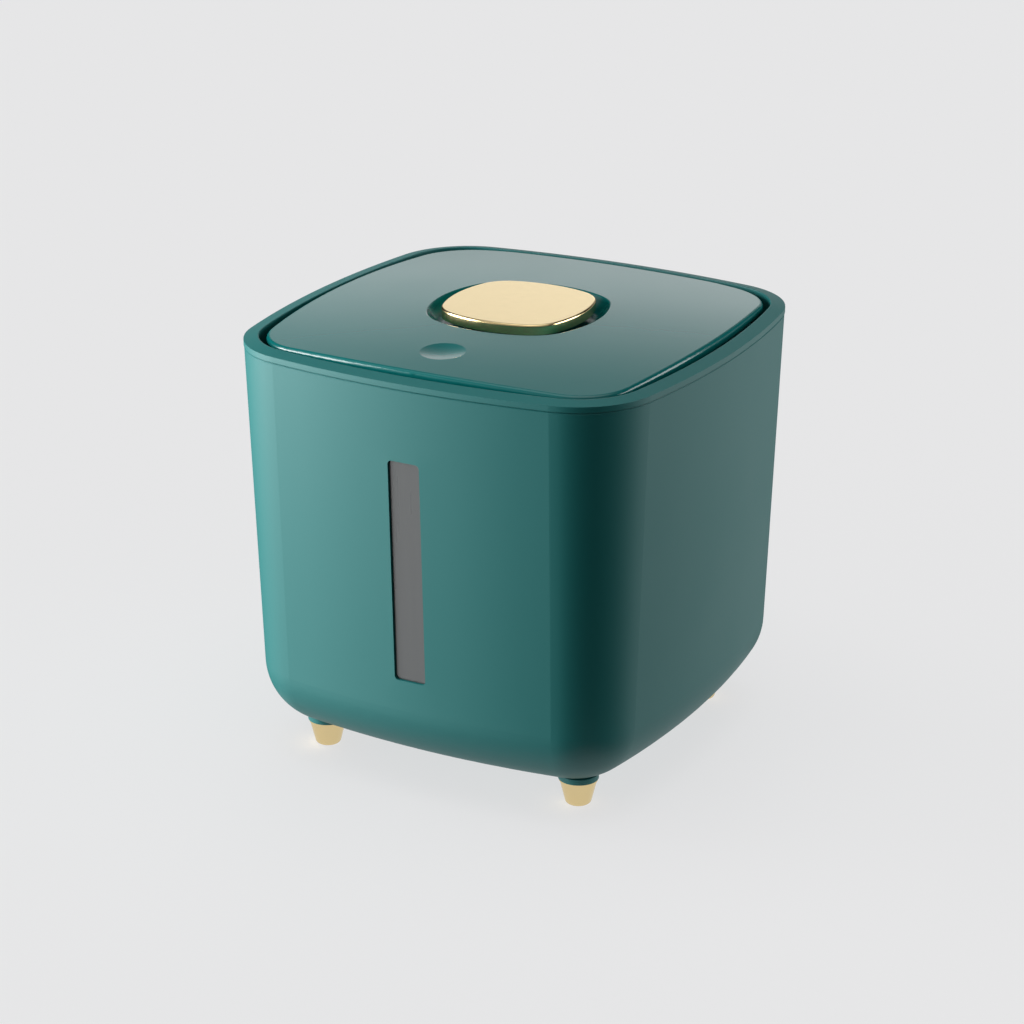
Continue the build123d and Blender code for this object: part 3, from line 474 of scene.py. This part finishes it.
lid_low, lid_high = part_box("lid_screws")
lid_middle = (lid_low[1] + lid_high[1]) / 2
lid_reach = lid_high[0] - HEAD_RADIUS
both = (-1, 1)
lid_places = [(x * LID_SCREW_CORNER, lid_middle + y * LID_SCREW_CORNER) for x in both for y in both]
lid_places += [(x * lid_reach, lid_middle) for x in both]
lid_places += [(0.0, lid_middle + y * lid_reach) for y in both]
screw_set("cross_screws_lid", "lid_screws", lid_places, SHORT_SCREW_TURNS)
grip_places = [(x * GRIP_SCREW_OFFSET, y * GRIP_SCREW_OFFSET) for x in both for y in both]
screw_set("cross_screws_grip", "grip_screws", grip_places, SHORT_SCREW_TURNS)
foot_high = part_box("foot_screws")[1]
foot_x, foot_y = foot_high[0] - HEAD_RADIUS, foot_high[1] - HEAD_RADIUS
foot_places = [(x * foot_x, y * foot_y) for x in both for y in both]
screw_set("cross_screws_feet", "foot_screws", foot_places, FOOT_SCREW_TURNS)

# catch spring, built at the height of its node's box; the real one shortens as the plunger goes down
SPRING_WIRE = 0.4 * MM
spring_low, spring_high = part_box("latch_spring")
spring_height = spring_high[2] - spring_low[2]
spring_foot = ((spring_low[0] + spring_high[0]) / 2, (spring_low[1] + spring_high[1]) / 2, spring_low[2])
spring_sizes = {
    "Coil Radius": (spring_high[0] - spring_low[0]) / 2 - SPRING_WIRE, "Wire Radius": SPRING_WIRE,
    "Height": spring_height, "Turns": 4.0}
catch_spring = grow("coiled_catch_spring", spring_tree(), spring_sizes, [spring_foot], [], "latch_spring")
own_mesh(catch_spring)

# ---- studio ---------------------------------------------------------------------------------
scene.view_settings.view_transform = "Standard"


def floor_sheet(name, half_width, glow, matt):
    """A square of pale paper at floor height: its own even glow, and a little that takes shadow."""
    mesh = bpy.data.meshes.new(name)
    corners = [(x * half_width, y * half_width, 0) for x, y in ((-1, -1), (1, -1), (1, 1), (-1, 1))]
    mesh.from_pydata(corners, [], [(0, 1, 2, 3)])
    sheet = bpy.data.objects.new(name, mesh)
    scene.collection.objects.link(sheet)
    paper, tree = new_material(name + "_paper")
    even = wire(tree, "ShaderNodeEmission", {"Color": [1.0, 1.0, 1.01, 1.0], "Strength": glow})
    shaded = wire(tree, "ShaderNodeBsdfDiffuse", {"Color": [matt, matt, matt, 1.0]})
    mixed = wire(tree, "ShaderNodeAddShader", {0: even.outputs[0], 1: shaded.outputs[0]})
    wire(tree, "ShaderNodeOutputMaterial", {"Surface": mixed.outputs[0]})
    mesh.materials.append(paper)
    return sheet


# The wide sheet is what the camera sees. Polished faces reflect the near sheet and, past it, the
# studio's dark and bright sides.
floor = floor_sheet("studio_floor", half_width=40.0, glow=0.665, matt=0.26)
floor.visible_glossy = False
floor.visible_diffuse = False
near_floor = floor_sheet("studio_floor_near", half_width=0.15, glow=0.66, matt=0.1)
near_floor.visible_camera = False
near_floor.visible_shadow = False
near_floor.location.z = -0.2 * MM


def softbox(name, centre, aim, width, height, power):
    """A rectangular light that faces its aim."""
    light = bpy.data.lights.new(name, "AREA")
    light.shape = "RECTANGLE"
    light.size = width
    light.size_y = height
    light.energy = power
    obj = bpy.data.objects.new(name, light)
    obj.location = centre
    obj.rotation_euler = (Vector(aim) - Vector(centre)).to_track_quat("-Z", "Y").to_euler()
    obj.visible_camera = False
    scene.collection.objects.link(obj)
    # the paper keeps its even tone: the box lights the object alone
    lit = bpy.data.collections.new(name + "_lights")
    lit.objects.link(floor)
    lit.collection_objects[0].light_linking.link_state = "EXCLUDE"
    obj.light_linking.receiver_collection = lit


softbox("left_softbox", (-0.84, -0.58, 0.42), aim=(0.0, -0.12, 0.20), width=0.66, height=0.74, power=25.0)
softbox("right_softbox", (0.98, 0.62, 0.48), aim=(0.05, 0.0, 0.15), width=0.8, height=0.7, power=8.0)

# ---- the studio's walls, painted by azimuth (0 in front of the window, 90 to its right) and height
HALF_TURN = 180
QUARTER_TURN = 90
world = bpy.data.worlds.new("studio")
world.use_nodes = True
tree = world.node_tree
tree.nodes.clear()
direction = wire(tree, "ShaderNodeTexCoord").outputs["Generated"]
toward = wire(tree, "ShaderNodeSeparateXYZ", {"Vector": direction})
back = wire(tree, "ShaderNodeMath", {0: toward.outputs["Y"], 1: -1.0}, operation="MULTIPLY")
turn = wire(tree, "ShaderNodeMath", {0: toward.outputs["X"], 1: back.outputs[0]}, operation="ARCTAN2")
azimuth = wire(tree, "ShaderNodeMapRange", {"Value": turn.outputs[0], "From Min": -pi, "From Max": pi})
rise = wire(tree, "ShaderNodeMath", {0: toward.outputs["Z"]}, operation="ARCSINE")
height = wire(tree, "ShaderNodeMapRange", {"Value": rise.outputs[0], "From Min": -pi / 2, "From Max": pi / 2})


def profile(position, reach, stops):
    """Brightness along an angle: stops of (degrees, brightness up to 1)."""
    ramp = wire(tree, "ShaderNodeValToRGB", {"Fac": position.outputs["Result"]})
    ramp.color_ramp.interpolation = "EASE"
    while len(ramp.color_ramp.elements) < len(stops):
        ramp.color_ramp.elements.new(0.5)
    for element, (degrees, brightness) in zip(ramp.color_ramp.elements, stops):
        element.position = degrees / (2 * reach) + 0.5
        element.color = (brightness, brightness, brightness, 1.0)
    return ramp.outputs["Color"]


def wall(azimuth_stops, height_stops, strength):
    """One softly edged bright part of the studio."""
    along = profile(azimuth, HALF_TURN, azimuth_stops)
    up = profile(height, QUARTER_TURN, height_stops)
    shape = wire(tree, "ShaderNodeMath", {0: along, 1: up}, operation="MULTIPLY").outputs[0]
    return wire(tree, "ShaderNodeMath", {0: shape, 1: strength}, operation="MULTIPLY").outputs[0]


walls = [
    # behind and to the left: what the lid and the grip mirror, bright low down and dark above
    wall([(-170, 0.3), (-160, 1.0), (-148, 0.85), (-130, 0.0)],
         [(0, 0.0), (5, 0.65), (14, 0.78), (19, 0.56), (28, 0.26), (40, 0.1)], 1.75),
    # right and behind, below the horizon: what the right face mirrors
    wall([(85, 0.0), (130, 1.0), (180, 1.0)], [(-60, 0.6), (-10, 1.0), (0, 0.6), (8, 0.0)], 0.85),
    # left and in front, below the horizon: what the front face mirrors
    wall([(-125, 0.0), (-85, 0.35), (-52, 1.0), (-28, 0.8), (-12, 0.12), (8, 0.0)],
         [(-70, 0.0), (-45, 0.2), (-26, 1.0), (-6, 1.0), (2, 0.0)], 2.7),
    # left side light
    wall([(-105, 0.0), (-85, 1.0), (-65, 1.0), (-50, 0.0)], [(-2, 0.0), (4, 1.0), (45, 1.0), (65, 0.0)], 0.8),
    # in front and to the right, low: what the grip and the lid mirror when seen from behind
    wall([(-62, 0.0), (-40, 1.0), (75, 1.0), (98, 0.0)], [(8, 0.0), (14, 1.0), (34, 1.0), (48, 0.0)], 0.5),
    # overhead
    wall([(-180, 1.0), (180, 1.0)], [(48, 0.0), (75, 1.0)], 1.4),
]
total = walls[0]
for part in walls[1:]:
    total = wire(tree, "ShaderNodeMath", {0: total, 1: part}, operation="ADD").outputs[0]
glow = wire(tree, "ShaderNodeBackground", {"Color": [1.0, 1.0, 1.0, 1.0], "Strength": total})
wire(tree, "ShaderNodeOutputWorld", {"Surface": glow.outputs[0]})
scene.world = world

# ---- camera, where the photograph was taken from -----------------------------------------------
CAMERA_PLACE = (0.7852, -1.4432, 0.7632)
CAMERA_AIM = (-0.44843, 0.81941, -0.35707)
camera_data = bpy.data.cameras.new("camera")
camera_data.lens = 103.98
camera_data.sensor_width = 36.0
camera_data.clip_start = 0.05
camera = bpy.data.objects.new("camera", camera_data)
camera.location = CAMERA_PLACE
camera.rotation_euler = Vector(CAMERA_AIM).to_track_quat("-Z", "Y").to_euler()
scene.collection.objects.link(camera)
scene.camera = camera
